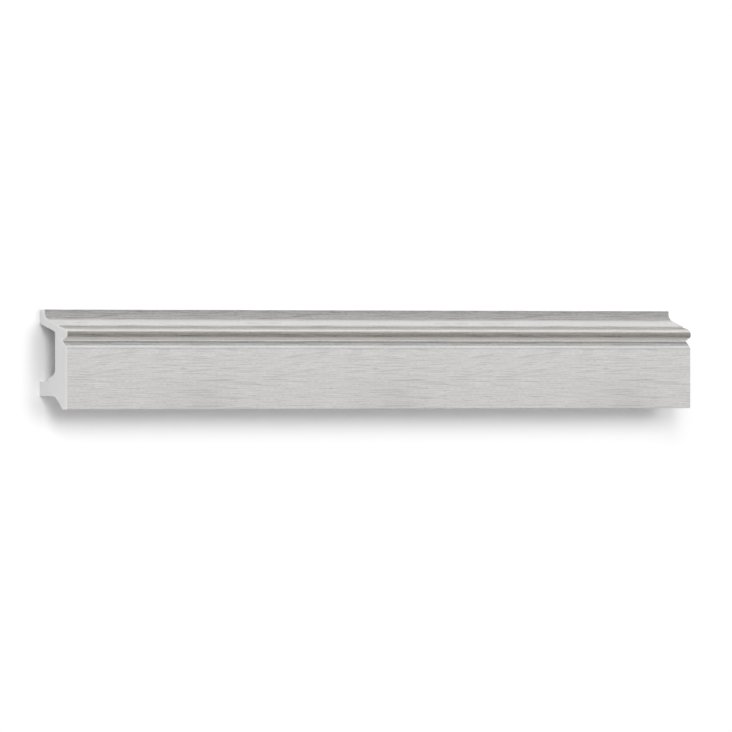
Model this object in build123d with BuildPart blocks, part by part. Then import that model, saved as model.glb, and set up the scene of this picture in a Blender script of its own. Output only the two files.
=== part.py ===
"""Skirting board with an ogee and bead head and a cable channel along its back.

One extruded length of rigid foamed polymer, sawn square at both ends. It lies on its
back: +X runs along the length, +Y points to the top edge that ends up highest on the
wall, and +Z points out of the visible face. The wall side is the plane Z = 0. The origin
is the middle of the board's footprint. Everything is in millimetres.
"""

import os
from math import cos, radians, sin, tan

from build123d import *

# Overall size
board_length = 1000.0
board_height = 80.0
face_depth = 25.6  # wall to the flat face

# Moulded head, from the top edge down, each height measured from the feature above it
lip_thickness = 4.9
cove_radius = 6.0
cove_slope = 24.0  # degrees below level
cove_foot_drop = 12.7  # top edge to the cove's foot
bead_step = 0.8  # drop from the cove's foot to the bead
bead_width = 7.2  # from the cove's foot to the flat face
bead_slope = 16.0  # degrees below level
bead_projection = 0.4  # bead's nose in front of the flat face
bead_top_radius = 5.0
bead_under_radius = 2.5
bead_nose_height = 5.9  # shoulder to underside
quirk_cut = 4.5  # depth of the quirk behind the flat face
quirk_height = 3.0  # bead's underside to the quirk's bottom
quirk_slope_height = 5.6  # quirk's bottom to the flat face

# Back, with the heights measured up from the floor edge
cove_wall = 6.2  # thickness behind the sloping part of the cove
web_thickness = 11.2
toe_thickness = 4.4
toe_slope = 31.5  # degrees from upright
toe_hollow_radius = 5.0
toe_hollow_height = 10.7
heel_height = 11.6  # height of the lower wall pad
ramp_foot_depth = 4.9
ramp_slope = 32.5  # degrees above level
ramp_radius = 6.0
web_top_radius = 2.0

# Small roundings
edge_radius = 0.5
pad_radius = 0.8
crease_radius = 0.2
quirk_radius = 0.5
arris_radius = 1.0

# Depths, from the wall
cove_foot_depth = face_depth - bead_width
bead_depth = face_depth + bead_projection
quirk_depth = face_depth - quirk_cut
web_depth = face_depth - web_thickness
toe_depth = face_depth - toe_thickness

# Heights of the head, from the floor edge
cove_foot = board_height - cove_foot_drop
cove_top = cove_foot + (cove_foot_depth - lip_thickness) * tan(radians(cove_slope))
bead_root = cove_foot - bead_step
bead_shoulder = bead_root - (bead_depth - cove_foot_depth) * tan(radians(bead_slope))
bead_under = bead_shoulder - bead_nose_height
quirk_bottom = bead_under - quirk_height
face_top = quirk_bottom - quirk_slope_height

# Heights of the back, from the floor edge
wall_line_top = (
    cove_top
    - cove_wall * cos(radians(cove_slope))
    + (lip_thickness - cove_wall * sin(radians(cove_slope))) * tan(radians(cove_slope))
)
web_top = wall_line_top - web_depth * tan(radians(cove_slope))
heel_top = toe_hollow_height + heel_height
ramp_top = heel_top + (web_depth - ramp_foot_depth) * tan(radians(ramp_slope))
toe_root_depth = toe_depth - toe_hollow_height * tan(radians(toe_slope))


def corner(height, depth):
    """A point of the section from its height over the floor edge and depth from the wall."""
    return (height - board_height / 2, depth)


with BuildPart() as skirting_board:
    with BuildSketch(Plane.YZ.offset(-board_length / 2)) as section:
        with BuildLine() as outline:
            face_line = FilletPolyline(
                corner(board_height, lip_thickness / 2),
                corner(board_height, lip_thickness),
                corner(cove_top, lip_thickness),
                corner(cove_foot, cove_foot_depth),
                corner(bead_root, cove_foot_depth),
                corner(bead_shoulder, bead_depth),
                corner(bead_under, bead_depth),
                corner(quirk_bottom, quirk_depth),
                corner(face_top, face_depth),
                corner(0, face_depth),
                corner(0, face_depth - toe_thickness / 2),
                radius=[
                    edge_radius,
                    cove_radius,
                    crease_radius,
                    crease_radius,
                    bead_top_radius,
                    bead_under_radius,
                    quirk_radius,
                    arris_radius,
                    edge_radius,
                ],
            )
            back_line = FilletPolyline(
                corner(0, face_depth - toe_thickness / 2),
                corner(0, toe_depth),
                corner(toe_hollow_height, toe_root_depth),
                corner(toe_hollow_height, 0),
                corner(heel_top, 0),
                corner(heel_top, ramp_foot_depth),
                corner(ramp_top, web_depth),
                corner(web_top, web_depth),
                corner(wall_line_top, 0),
                corner(board_height, 0),
                corner(board_height, lip_thickness / 2),
                radius=[
                    edge_radius,
                    toe_hollow_radius,
                    pad_radius,
                    pad_radius,
                    ramp_radius,
                    ramp_radius,
                    web_top_radius,
                    pad_radius,
                    edge_radius,
                ],
            )
        make_face()
    extrude(amount=board_length)

skirting_board.part.label = "skirting_board"

os.makedirs("parts", exist_ok=True)
export_step(skirting_board.part, "parts/skirting_board.step")
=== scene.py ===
# Skirting board: a wood-look film over an extruded polymer core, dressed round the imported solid.
import math

import bmesh
import bpy
from mathutils import Matrix, Vector, noise
from mathutils.kdtree import KDTree


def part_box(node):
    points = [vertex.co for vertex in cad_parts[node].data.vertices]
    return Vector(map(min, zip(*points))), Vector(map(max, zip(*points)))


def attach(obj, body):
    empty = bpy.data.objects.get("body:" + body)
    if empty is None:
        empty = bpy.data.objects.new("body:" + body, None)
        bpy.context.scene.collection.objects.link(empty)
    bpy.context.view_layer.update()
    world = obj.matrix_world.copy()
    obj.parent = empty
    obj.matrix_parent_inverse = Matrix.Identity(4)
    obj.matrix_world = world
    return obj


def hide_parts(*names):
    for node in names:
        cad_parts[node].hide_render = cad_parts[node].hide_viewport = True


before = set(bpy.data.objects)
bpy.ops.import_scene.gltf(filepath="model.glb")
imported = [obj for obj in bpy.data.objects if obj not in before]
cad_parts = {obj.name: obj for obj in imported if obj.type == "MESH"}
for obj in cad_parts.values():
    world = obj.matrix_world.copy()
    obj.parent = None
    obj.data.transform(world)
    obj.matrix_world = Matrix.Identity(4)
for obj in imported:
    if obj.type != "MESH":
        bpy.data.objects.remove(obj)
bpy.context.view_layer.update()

boardLow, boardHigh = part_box("skirting_board")
mm = 0.001

print("Camera")
cameraSetup = {
    "turn": 59.55,  # degrees from straight in front of the board's face
    "distance": 26.45,  # from the board's middle, in metres
    "lens": 1600.0,  # long enough for a view with almost no vanishing
    "sees": (1.0, 60.0),  # nearest and farthest thing that it shows
    "aimRight": 0.00764,  # picture centre, from the board's middle along the picture's width
    "aimUp": -0.00522,
}


def addCamera():
    turn = math.radians(cameraSetup["turn"])
    right = Vector((math.cos(turn), 0, math.sin(turn)))
    up = Vector((0, 1, 0))
    back = right.cross(up)
    aim = right * cameraSetup["aimRight"] + up * cameraSetup["aimUp"]
    data = bpy.data.cameras.new("camera")
    data.lens = cameraSetup["lens"]
    data.sensor_width = 36.0
    data.clip_start, data.clip_end = cameraSetup["sees"]
    camera = bpy.data.objects.new("camera", data)
    camera.matrix_world = Matrix.Translation(aim + back * cameraSetup["distance"]) @ Matrix(
        (right, up, back)).transposed().to_4x4()
    bpy.context.scene.collection.objects.link(camera)
    bpy.context.scene.camera = camera


addCamera()


class Wire:
    # A socket that does maths: an expression of wires and numbers adds its Math nodes.
    def __init__(self, tree, socket=None):
        self.tree, self.socket = tree, socket

    def node(self, kind, settings=None, inputs=None, output=0):
        made = self.tree.nodes.new(kind)
        for name, value in (settings or {}).items():
            if name == "stops":
                self.fillRamp(made.color_ramp, value)
            else:
                setattr(made, name, value)
        for key, value in (inputs or {}).items():
            if isinstance(value, Wire):
                self.tree.links.new(value.socket, made.inputs[key])
            else:
                made.inputs[key].default_value = value
        return Wire(self.tree, made.outputs[output])

    def fillRamp(self, ramp, stops):
        while len(ramp.elements) > 1:
            ramp.elements.remove(ramp.elements[-1])
        for index, (place, colour) in enumerate(stops):
            element = ramp.elements[0] if index == 0 else ramp.elements.new(place)
            element.position, element.color = place, (*colour, 1.0)

    def maths(self, operation, first, second=0.0):
        return self.node("ShaderNodeMath", {"operation": operation}, {0: first, 1: second})

    def __add__(self, other):
        return self.maths("ADD", self, other)

    __radd__ = __add__

    def __sub__(self, other):
        return self.maths("SUBTRACT", self, other)

    def __rsub__(self, other):
        return self.maths("SUBTRACT", other, self)

    def __mul__(self, other):
        return self.maths("MULTIPLY", self, other)

    def smooth(self, low, high):  # 0 below low, 1 above high, eased between
        return self.node("ShaderNodeMapRange", {"interpolation_type": "SMOOTHSTEP"},
                         {"Value": self, "From Min": low, "From Max": high})

    def plateau(self, ends):  # 0 to 1 between the first two values, back to 0 between the last two
        return self.smooth(ends[0], ends[1]) * (1.0 - self.smooth(ends[2], ends[3]))

    def noise(self, scale, vector, detail=2.0):  # mean about 0.5, scale in cells a metre on each axis
        stretched = self.node("ShaderNodeVectorMath", {"operation": "MULTIPLY"}, {0: vector, 1: scale})
        return self.node("ShaderNodeTexNoise", {"noise_dimensions": "3D"},
                         {"Vector": stretched, "Scale": 1.0, "Detail": detail, "Roughness": 0.5})

    def mix(self, factor, first, second, blend="MIX"):  # the node's colours are inputs 6 and 7
        made = self.node("ShaderNodeMix", {"data_type": "RGBA", "blend_type": blend}, {0: factor}, 2)
        node = made.socket.node
        for key, value in ((6, first), (7, second)):
            if isinstance(value, Wire):
                self.tree.links.new(value.socket, node.inputs[key])
            else:
                node.inputs[key].default_value = (*value, 1.0)
        return made

    def grey(self, value):  # a number as a colour
        return self.node("ShaderNodeCombineColor", None, {0: value, 1: value, 2: value})

    def above(self, other):  # 1 where this is more than the other
        return self.maths("GREATER_THAN", self, other)

    def attribute(self, name):  # a number kept on the points
        return self.node("ShaderNodeAttribute", {"attribute_name": name}, None, 2)

    def place(self):  # Object coordinates
        return self.node("ShaderNodeTexCoord", None, None, 3)

    def bump(self, height, distance):
        return self.node("ShaderNodeBump", None, {"Strength": 1.0, "Distance": distance, "Height": height})


def newMaterial(name):
    material = bpy.data.materials.new(name)
    material.use_nodes = True
    tree = material.node_tree
    shader = tree.nodes["Principled BSDF"]
    return material, Wire(tree), shader


def joinTo(shader, inputs):
    for name, value in inputs.items():
        if isinstance(value, Wire):
            value.tree.links.new(value.socket, shader.inputs[name])
        else:
            shader.inputs[name].default_value = value


# The section's corners, walked down the face and back up the wall side: height over the floor edge,
# depth from the wall and rounding, all in millimetres
section = {
    "faceCorners": [
        (80.0, 4.9, 0.5), (73.31, 4.9, 6.0), (67.3, 18.4, 0.2), (66.5, 18.4, 0.2), (64.321, 26.0, 5.0),
        (58.421, 26.0, 2.5), (55.421, 21.1, 0.5), (49.821, 25.6, 1.0), (0.0, 25.6, 0.5),
    ],
    "backCorners": [
        (0.0, 21.2, 0.5), (10.7, 14.643, 5.0), (10.7, 0.0, 0.8), (22.3, 0.0, 0.8), (22.3, 4.9, 6.0),
        (28.352, 14.4, 6.0), (62.32, 14.4, 2.0), (68.73, 0.0, 0.8), (80.0, 0.0, 0.5),
    ],
    "topAtWall": (80.0, 0.0),  # where the walk round the outline starts
    "filmStops": (0.0, 21.2),  # foot corner on the wall side, the last that the film covers
    "faceStep": 0.5 * mm,  # widest strip across the face
    "backStep": 1.5 * mm,  # widest strip of a rounding on the wall side
    "lengthCuts": 330,
    "endStep": 0.8 * mm,  # grid of the sawn ends
}


def sectionPoint(height, depth):
    return Vector((boardLow.x, boardLow.y + height * mm, boardLow.z + depth * mm))


def roundCorner(bm, vert, radius, step):
    # The rounding starts at radius * tan(half the turn) from the corner.
    first, second = (edge.other_vert(vert).co - vert.co for edge in vert.link_edges)
    inside = first.angle(second)
    segments = max(3, math.ceil(radius * (math.pi - inside) / step))
    bmesh.ops.bevel(bm, geom=[vert], offset=radius / math.tan(inside / 2), offset_type="OFFSET",
                    segments=segments, profile=0.5, affect="VERTICES", material=-1)


def drawSection(bm):
    corners = [(*corner, section["faceStep"]) for corner in section["faceCorners"]]
    corners += [(*corner, section["backStep"]) for corner in section["backCorners"]]
    ring = [bm.verts.new(sectionPoint(height, depth)) for height, depth, *_ in corners]
    for vert, following in zip(ring, ring[1:] + ring[:1]):
        bm.edges.new((vert, following))
    for vert, (*_, radius, step) in zip(ring, corners):
        roundCorner(bm, vert, radius * mm, step)


def walkRing(bm):
    # The outline's vertices in order, from the top corner on the wall side and over the face first.
    top = sectionPoint(*section["topAtWall"])
    start = min(bm.verts, key=lambda vert: (vert.co - top).length)
    ring, edge = [start], max(start.link_edges, key=lambda edge: edge.other_vert(start).co.z)
    while (vert := edge.other_vert(ring[-1])) is not start:
        edge = next(other for other in vert.link_edges if other is not edge)
        ring.append(vert)
    return ring


def filmStop(ring):
    # Place in the ring of the vertex where the film ends.
    stop = sectionPoint(*section["filmStops"])
    return min(range(len(ring)), key=lambda index: (ring[index].co - stop).length)


def splitFace(bm):
    # The face side gets strips narrow enough to carry the embossed grain.
    place = 0
    while place < filmStop(ring := walkRing(bm)):
        edge = bm.edges.get((ring[place], ring[place + 1]))
        cuts = math.ceil(edge.calc_length() / section["faceStep"] - 0.01) - 1
        if cuts > 0:
            bmesh.ops.subdivide_edges(bm, edges=[edge], cuts=cuts)
        place += max(cuts, 0) + 1


def markAcross(bm, across):
    # Distance round the outline, which the film's print follows.
    ring, total = walkRing(bm), 0.0
    for vert, following in zip(ring, ring[1:] + ring[:1]):
        vert[across] = total
        total += (following.co - vert.co).length
    return ring[filmStop(ring)][across]


# The film's print comes off a roller, so its pattern starts again along the board
filmPrint = {
    "starts": [-504.0 * mm, -199.0 * mm, 101.0 * mm, 175.3 * mm],
    "jointWander": 5.0 * mm,  # how far the ragged joint between two repeats sways
    "jointTurns": 900.0,  # how quickly it does, in radians a metre of height
    # where the grain leans: rise along the board, then the part of the repeat and the heights it fills
    "leanings": [
        (0.070, (2.0 * mm, 35.0 * mm, 95.0 * mm, 150.0 * mm),
         (24.0 * mm, 31.0 * mm, 46.0 * mm, 50.0 * mm)),
        (-0.038, (190.0 * mm, 225.0 * mm, 265.0 * mm, 300.0 * mm),
         (-2.0 * mm, 4.0 * mm, 22.0 * mm, 28.0 * mm)),
    ],
    # dark strokes drawn in each repeat, in millimetres: both ends along it, height over the floor edge
    # at both, width, then how much darker
    "strokes": [
        # face, the slanted ones first
        (22, 125, 40.0, 46.0, 1.9, 0.050), (48, 120, 38.8, 43.0, 1.7, 0.034),
        (14, 110, 24.5, 32.6, 1.9, 0.040), (34, 115, 24.5, 29.0, 1.7, 0.028),
        (110, 175, 32.8, 34.0, 1.5, 0.022), (132, 172, 29.2, 30.2, 1.8, 0.048),
        (180, 240, 29.4, 32.2, 2.0, 0.062), (179, 192, 32.4, 32.6, 1.8, 0.060),
        (135, 168, 44.0, 44.2, 1.7, 0.040), (185, 245, 37.2, 37.5, 1.6, 0.034),
        (200, 268, 23.2, 23.4, 1.8, 0.044), (255, 312, 21.8, 20.8, 1.9, 0.044),
        # dark patch near the floor edge
        (168, 250, 15.0, 15.3, 1.1, 0.050), (188, 252, 13.2, 13.7, 1.1, 0.054),
        (178, 248, 11.3, 11.5, 1.0, 0.040), (205, 312, 9.8, 8.6, 1.3, 0.036),
        (190, 262, 5.4, 5.6, 1.3, 0.036), (182, 262, 1.9, 2.4, 1.6, 0.055),
        # under the arris
        (142, 170, 47.9, 47.8, 2.4, 0.040), (196, 226, 47.6, 47.8, 2.2, 0.026),
        (248, 276, 47.9, 47.9, 2.4, 0.048),
        # quirk, then cove
        (-6, 95, 50.4, 54.2, 1.6, 0.030), (-4, 30, 69.4, 69.6, 2.2, 0.044),
        (34, 58, 69.4, 69.4, 2.0, 0.034),
        # lip
        (28, 92, 73.4, 73.8, 1.6, 0.040), (76, 124, 73.8, 76.2, 1.7, 0.045),
        (120, 140, 77.6, 77.8, 1.6, 0.030), (146, 158, 79.0, 79.0, 1.6, 0.032),
        (166, 208, 78.6, 78.9, 1.5, 0.026), (226, 250, 79.0, 78.6, 1.8, 0.028),
    ],
    "strokeBend": 1.5,  # above 1, a slanted stroke levels out towards its end
    "strokeEdge": 0.25,  # millimetres past half the width where it has faded away
    "strokeTaper": 0.3,  # share of its length over which an end fades
}
embossing = {
    "depth": 0.05 * mm,
    "poresAlong": 14.0,  # noise cells a metre
    "poresAcross": 560.0,
    "poreRange": (0.12, 0.5),  # noise at which a pore begins, and at which it is full
}


def eased(value, low, high):
    share = min(max((value - low) / (high - low), 0.0), 1.0)
    return share * share * (3 - 2 * share)


def plateau(value, ends):
    return eased(value, ends[0], ends[1]) * (1.0 - eased(value, ends[2], ends[3]))


def repeatStart(x):
    return max(begin for begin in filmPrint["starts"] if begin <= max(x, filmPrint["starts"][0]))


def poreStrength(x, height, across):
    # Long shallow pores that follow the print.
    along = x - repeatStart(x)

    def pores(shift):
        place = (across + shift) * embossing["poresAcross"]
        return noise.noise(Vector((along * embossing["poresAlong"], place, 2.5)))

    strength = pores(0.0)
    for rise, stretch, heights in filmPrint["leanings"]:
        share = plateau(along, stretch) * plateau(height, heights)
        strength += (pores(rise * along) - strength) * share
    return eased(strength, *embossing["poreRange"])


def strokeDarkness(x, height):
    along, height = (x - repeatStart(x)) / mm, height / mm
    darkness = 0.0
    for start, end, low, high, width, dark in filmPrint["strokes"]:
        share = (along - start) / (end - start)
        if 0.0 < share < 1.0:
            middle = high + (low - high) * (1.0 - share) ** filmPrint["strokeBend"]
            beside = 1.0 - eased(abs(height - middle), 0.0, width / 2 + filmPrint["strokeEdge"])
            darkness += dark * beside * eased(min(share, 1.0 - share), 0.0, filmPrint["strokeTaper"])
    return darkness


filmSide, sawnSide, wallSide = 0, 1, 2  # material slots


def gridEnd(bm, end, frontDistance, front):
    # A fine grid over a sawn end, so that the distance from the face can be kept on its points.
    parts = [end, *end.edges, *end.verts]
    for axis in (Vector((0, 1, 0)), Vector((0, 0, 1))):
        place = boardLow.dot(axis) + section["endStep"]
        while place < boardHigh.dot(axis):
            cut = bmesh.ops.bisect_plane(bm, geom=parts, dist=1e-7, plane_co=axis * place, plane_no=axis)
            parts = cut["geom"]
            place += section["endStep"]
    for vert in parts:
        if isinstance(vert, bmesh.types.BMVert):
            vert[frontDistance] = front.find((0, vert.co.y, vert.co.z))[2]


def buildBoard():
    bm = bmesh.new()
    across = bm.verts.layers.float.new("across")
    pore = bm.verts.layers.float.new("pore")
    stroke = bm.verts.layers.float.new("stroke")
    frontDistance = bm.verts.layers.float.new("frontDistance")
    drawSection(bm)
    splitFace(bm)
    filmEnd = markAcross(bm, across)
    frontPoints = [vert.co.copy() for vert in bm.verts if vert[across] <= filmEnd]
    front = KDTree(len(frontPoints))
    for index, point in enumerate(frontPoints):
        front.insert((0, point.y, point.z), index)
    front.balance()

    face = bmesh.ops.contextual_create(bm, geom=bm.edges[:])["faces"][0]
    pushed = bmesh.ops.extrude_face_region(bm, geom=[face])
    moved = [item for item in pushed["geom"] if isinstance(item, bmesh.types.BMVert)]
    length = boardHigh.x - boardLow.x
    bmesh.ops.translate(bm, verts=moved, vec=(length, 0, 0))
    longEdges = [edge for edge in bm.edges if edge.calc_length() > 0.9 * length]
    bmesh.ops.subdivide_edges(bm, edges=longEdges, cuts=section["lengthCuts"], use_grid_fill=True)
    bmesh.ops.recalc_face_normals(bm, faces=bm.faces[:])

    ends = []
    for face in bm.faces:
        face.smooth = True
        if abs(face.normal.x) > 0.5:
            face.material_index = sawnSide
            ends.append(face)
        else:
            farthest = max(vert[across] for vert in face.verts)
            face.material_index = filmSide if farthest < filmEnd + 1e-6 else wallSide

    # relief goes inwards, so the film never stands outside the solid's box
    for vert in bm.verts:
        if vert[across] <= filmEnd:
            vert[pore] = poreStrength(vert.co.x, vert.co.y - boardLow.y, vert[across])
            vert[stroke] = strokeDarkness(vert.co.x, vert.co.y - boardLow.y)
    shifts = []
    for vert in bm.verts:
        sides = [face.normal for face in vert.link_faces if face.material_index != sawnSide]
        if vert[pore] > 0 and sides:
            shifts.append((vert, sum(sides, Vector()).normalized() * -embossing["depth"] * vert[pore]))
    for vert, shift in shifts:
        vert.co += shift

    for end in ends:
        gridEnd(bm, end, frontDistance, front)
    mesh = bpy.data.meshes.new("facedBoard")
    bm.to_mesh(mesh)
    bm.free()
    return mesh


print("Board")
mesh = buildBoard()
board = bpy.data.objects.new("facedBoard", mesh)
bpy.context.scene.collection.objects.link(board)
mesh.set_sharp_from_angle(angle=math.radians(40))
mesh.calc_loop_triangles()
print("  triangles", len(mesh.loop_triangles))

print("Finishes")
printedFilm = {
    # tones of the film from the floor edge up: height over it in millimetres, brightness, warmth; partly
    # the print's own tone, partly painted light and shade set against the studio lamps
    "printAndPaintedLight": {
        # face: the brighter stop at the floor edge is painted light against the shade on the edge's
        # rounding
        "face": [(0.0, 0.650, 0.020), (1.0, 0.582, 0.021), (47.5, 0.621, 0.022)],
        # arris: painted highlight on the rounded edge, darker just below it
        "arris": [(49.2, 0.516, 0.013), (50.8, 0.729, 0.000)],
        # quirk: painted shade, darkest at the bottom of the groove under the bead
        "quirk": [(51.6, 0.392, 0.005), (52.8, 0.390, 0.000), (54.3, 0.223, 0.003), (55.1, 0.469, 0.065)],
        # bead underside: painted light, brighter than the lamps make a face that looks down
        "beadUnderside": [(55.4, 0.940, 0.019), (57.5, 0.940, 0.071)],
        # bead nose: painted shade, a dark band down the bead's front
        "beadNose": [(58.5, 0.294, 0.117), (59.6, 0.196, 0.085), (61.9, 0.280, 0.084)],
        # bead top: painted highlight on its upward slope, then painted shade in the crease towards the
        # cove
        "beadTop": [(63.6, 0.760, 0.040), (64.3, 0.522, 0.070), (66.2, 0.347, 0.035)],
        # cove: painted highlight on its upward curve, darker where it turns into the lip
        "cove": [(68.2, 0.715, 0.020), (71.2, 0.670, 0.024), (72.8, 0.387, 0.018)],
        "lip": [(80.0, 0.316, 0.022)],
    },
    "warmRed": 0.6,  # how much a warmth of 1 adds to red
    "warmBlue": 0.7,  # and takes from blue
    # noise cells a metre, along the board and across it
    "fibreCells": (30.0, 1150.0),
    "fleckCells": (170.0, 1300.0),
    "cloudCells": (8.0, 60.0),
    # light and dark that each layer adds to the tone
    "fibre": 0.12,
    "fleck": 0.14,  # short flecks
    "comb": 0.12,  # thin dark lines side by side
    "strokes": 1.8,
    "cloud": 0.04,  # slow light and dark
    "pores": 0.025,
    "smoke": 0.02,  # dark patch in each repeat
    "hue": 2.0,  # how far the clouds change the tone between cool and warm
    "combStep": 1.9 * mm,
    "combLines": (0.25, 1.0),  # height of the wave where a line begins, and where it is darkest
    "combWander": [(7.0, 90.0, 14.0), (30.0, 300.0, 3.0)],  # cells along and across, sway in radians
    "combCells": (22.0, 600.0),  # where the lines fade in and out
    "combFade": (-0.12, 0.2),
    "strokeBreaks": 3.0,  # how much the flecks break a stroke up
    "smokePlace": (100.0 * mm, 215.0 * mm, 230.0 * mm, 300.0 * mm),
    "smokeTop": (20.0 * mm, 32.0 * mm),  # heights between which it thins out
    "fullPattern": 0.35,  # tone from which all this shows in full; it is fainter where the tone is dark
    "warm": (1.006, 0.999, 0.992),
    "cool": (0.997, 1.001, 1.002),
    "roughness": 0.62,
    "fibreShine": 0.4,  # how much the fibres change the roughness
    "relief": 0.03 * mm,
}


def printPlace(along, height):
    # Distance from the start of the repeat; the joint between two repeats is ragged.
    ragged = along + height.maths("SINE", height * filmPrint["jointTurns"]) * filmPrint["jointWander"]
    starts = filmPrint["starts"]
    place = along - starts[0]
    for before, start in zip(starts, starts[1:]):
        place = place - ragged.above(start) * (start - before)
    return place


def filmFinish():
    material, wire, shader = newMaterial("printedFilm")
    film = printedFilm
    axes = wire.node("ShaderNodeSeparateXYZ", None, {0: wire.place()}).socket.node.outputs
    height = Wire(wire.tree, axes[1]) - boardLow.y
    along = printPlace(Wire(wire.tree, axes[0]), height)
    across, pore = wire.attribute("across"), wire.attribute("pore")

    def grain(cellsAlong, cellsAcross, shape=lambda value: value):
        # Fibres that run level, blended with others that lean where the print leans.
        def fibres(shift):
            point = wire.node("ShaderNodeCombineXYZ", None, {0: along, 1: across + shift})
            return shape(wire.noise((cellsAlong, cellsAcross, 1.0), point, 0.0) - 0.5)

        total = fibres(0.0)
        for rise, stretch, heights in filmPrint["leanings"]:
            share = along.plateau(stretch) * height.plateau(heights)
            total = total + (fibres(along * rise) - total) * share
        return total

    boardHeight = boardHigh.y - boardLow.y
    stops = []
    for part in film["printAndPaintedLight"].values():
        for tall, bright, warm in part:
            red, blue = 1 + film["warmRed"] * warm, 1 - film["warmBlue"] * warm
            stops.append((tall * mm / boardHeight, (bright * red, bright, bright * blue)))
    # the tone up the board: the print's own tone with painted highlights and painted shade across the
    # moulding
    toneWithPaintedLight = wire.node("ShaderNodeValToRGB", {"stops": stops}, {0: height * (1.0 / boardHeight)})

    fibre, fleck, cloud = (grain(*film[layer + "Cells"]) for layer in ("fibre", "fleck", "cloud"))
    first, second = (grain(*cells) * sway for *cells, sway in film["combWander"])
    wander = first + second
    comb = wander.maths("SINE", wander + across * (2.0 * math.pi / film["combStep"]))
    comb = comb.smooth(*film["combLines"])
    comb = comb * grain(*film["combCells"], lambda value: value.smooth(*film["combFade"]))
    smoke = along.plateau(film["smokePlace"]) * (1.4 - height.smooth(*film["smokeTop"]))
    smoke = smoke * (0.8 + fibre * 3.0)
    pattern = fibre * film["fibre"] + fleck * film["fleck"] + cloud * film["cloud"]
    pattern = pattern - comb * film["comb"] - pore * film["pores"] - smoke * film["smoke"]
    pattern = pattern - wire.attribute("stroke") * (film["strokes"] + fleck * film["strokeBreaks"])
    pattern = pattern * toneWithPaintedLight.smooth(0.0, film["fullPattern"])
    hue = cloud * film["hue"] + 0.5
    colour = wire.mix(1.0, toneWithPaintedLight, wire.grey(pattern), "ADD")
    colour = wire.mix(1.0, colour, wire.mix(hue, film["cool"], film["warm"]), "MULTIPLY")
    relief = wire.bump(fibre + fleck, film["relief"])
    joinTo(shader, {"Base Color": colour, "Roughness": film["roughness"] - fibre * film["fibreShine"],
                    "Normal": relief, "Specular IOR Level": 0.18})
    return material


sawnCore = {
    "core": (0.728, 0.728, 0.726),
    "nearFaceBand": (0.755, 0.75, 0.742),  # a lighter band along the face side of the sawn end
    "nearFaceBandDepth": 2.2 * mm,
    "edge": (0.8, 0.79, 0.775),  # lightest line, right against the face
    "edgeDepth": 0.9 * mm,
    "layerBlend": (0.8, 1.1),  # shares of a band's depth between which it gives way
    "cells": (900.0, 900.0, 900.0),  # noise cells a metre
    "cellShade": 0.06,
    "relief": 0.05 * mm,
}


def coreFinish():
    material, wire, shader = newMaterial("sawnCore")
    distance = wire.attribute("frontDistance")
    cells = wire.noise(sawnCore["cells"], wire.place()) - 0.5
    colour = sawnCore["core"]
    for layer in ("nearFaceBand", "edge"):
        start, end = (share * sawnCore[layer + "Depth"] for share in sawnCore["layerBlend"])
        colour = wire.mix(1.0 - distance.smooth(start, end), colour, sawnCore[layer])
    colour = wire.mix(1.0, colour, wire.grey(1.0 + cells * sawnCore["cellShade"]), "MULTIPLY")
    joinTo(shader, {"Base Color": colour, "Roughness": 0.85, "Specular IOR Level": 0.2,
                    "Normal": wire.bump(cells, sawnCore["relief"])})
    return material


mouldedBack = {
    "colour": (0.8, 0.8, 0.795),
    "lines": (3.0, 700.0, 700.0),  # drawn lines along the board, in noise cells a metre
    "lineShade": 0.12,
    "relief": 0.05 * mm,
}


def backFinish():
    material, wire, shader = newMaterial("mouldedBack")
    lines = wire.noise(mouldedBack["lines"], wire.place()) - 0.5
    shade = wire.grey(1.0 + lines * mouldedBack["lineShade"])
    colour = wire.mix(1.0, mouldedBack["colour"], shade, "MULTIPLY")
    joinTo(shader, {"Base Color": colour, "Roughness": 0.6, "Specular IOR Level": 0.3,
                    "Normal": wire.bump(lines, mouldedBack["relief"])})
    return material


for finish in (filmFinish, coreFinish, backFinish):
    mesh.materials.append(finish())

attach(board, "root")
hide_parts("skirting_board")

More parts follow.
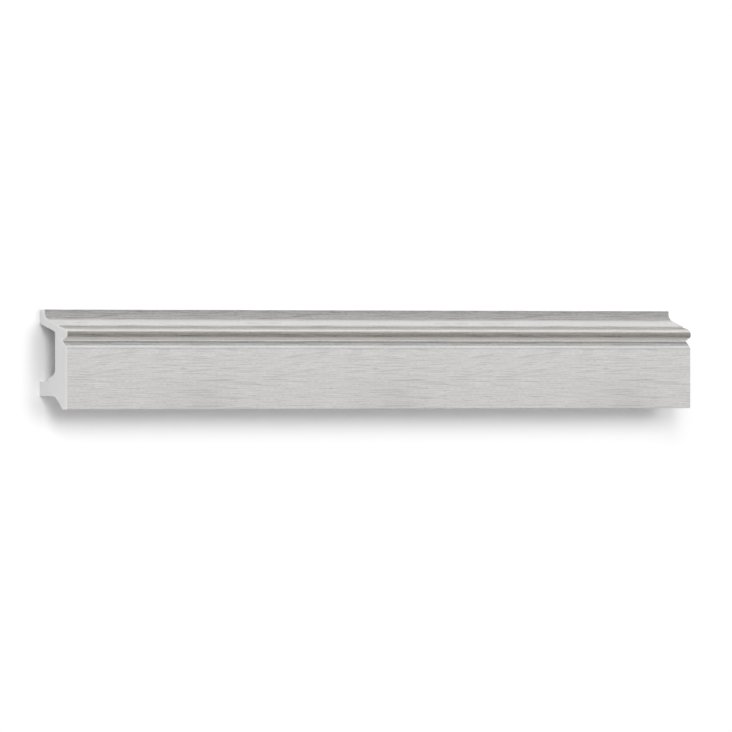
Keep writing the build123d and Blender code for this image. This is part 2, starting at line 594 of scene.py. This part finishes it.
print("Studio")
studio = {
    "ambient": 0.045,  # share of the face's light that comes from all round
    # lamp: degrees round from the board's right, degrees above the floor, its share of the light on a
    # level surface, its width in degrees
    "lamps": {
        "keyLeft": (139, 45, 0.27, 40),
        "keyLow": (152, 31, 0.16, 40),
        "keyTop": (60, 60, 0.155, 40),
        "right": (15, 45, 0.235, 40),
        "below": (300, 40, 0.09, 40),
    },
    "floorSize": 30.0,  # from its middle to its edge
    "floor": 0.93,
    "floorSeen": 0.065,  # the floor's own glow to the camera, which takes it to white outside the shadow
}


def addSun(name, turn, lift, share, width):
    light = bpy.data.lights.new(name, "SUN")
    light.energy = math.pi * share / math.sin(math.radians(lift))
    light.angle = math.radians(width)
    lamp = bpy.data.objects.new(name, light)
    lamp.rotation_euler = (0, math.radians(90 - lift), math.radians(turn))
    bpy.context.scene.collection.objects.link(lamp)


for name, lamp in studio["lamps"].items():
    addSun(name, *lamp)

world = bpy.data.worlds.new("studioWorld")
bpy.context.scene.world = world
world.use_nodes = True
tree = world.node_tree
background = tree.nodes["Background"]
wire = Wire(tree)
path = wire.node("ShaderNodeLightPath", None, None, 0)
seen = path.maths("MAXIMUM", path, Wire(tree, path.socket.node.outputs["Is Glossy Ray"]))
joinTo(background, {"Color": wire.mix(seen, [studio["ambient"]] * 3, (1.0, 1.0, 1.0))})

floorMesh = bpy.data.meshes.new("floor")
bm = bmesh.new()
bmesh.ops.create_grid(bm, x_segments=1, y_segments=1, size=studio["floorSize"])
bm.to_mesh(floorMesh)
bm.free()
floor = bpy.data.objects.new("floor", floorMesh)
bpy.context.scene.collection.objects.link(floor)
floorMaterial, wire, shader = newMaterial("paleFloor")
cameraRay = wire.node("ShaderNodeLightPath")
joinTo(shader, {"Base Color": wire.mix(cameraRay, [studio["floor"]] * 3, (1.0, 1.0, 1.0)),
                "Roughness": 0.9, "Specular IOR Level": 0.0,
                "Emission Color": wire.grey(cameraRay), "Emission Strength": studio["floorSeen"]})
floorMesh.materials.append(floorMaterial)

bpy.context.scene.view_settings.view_transform = "Standard"
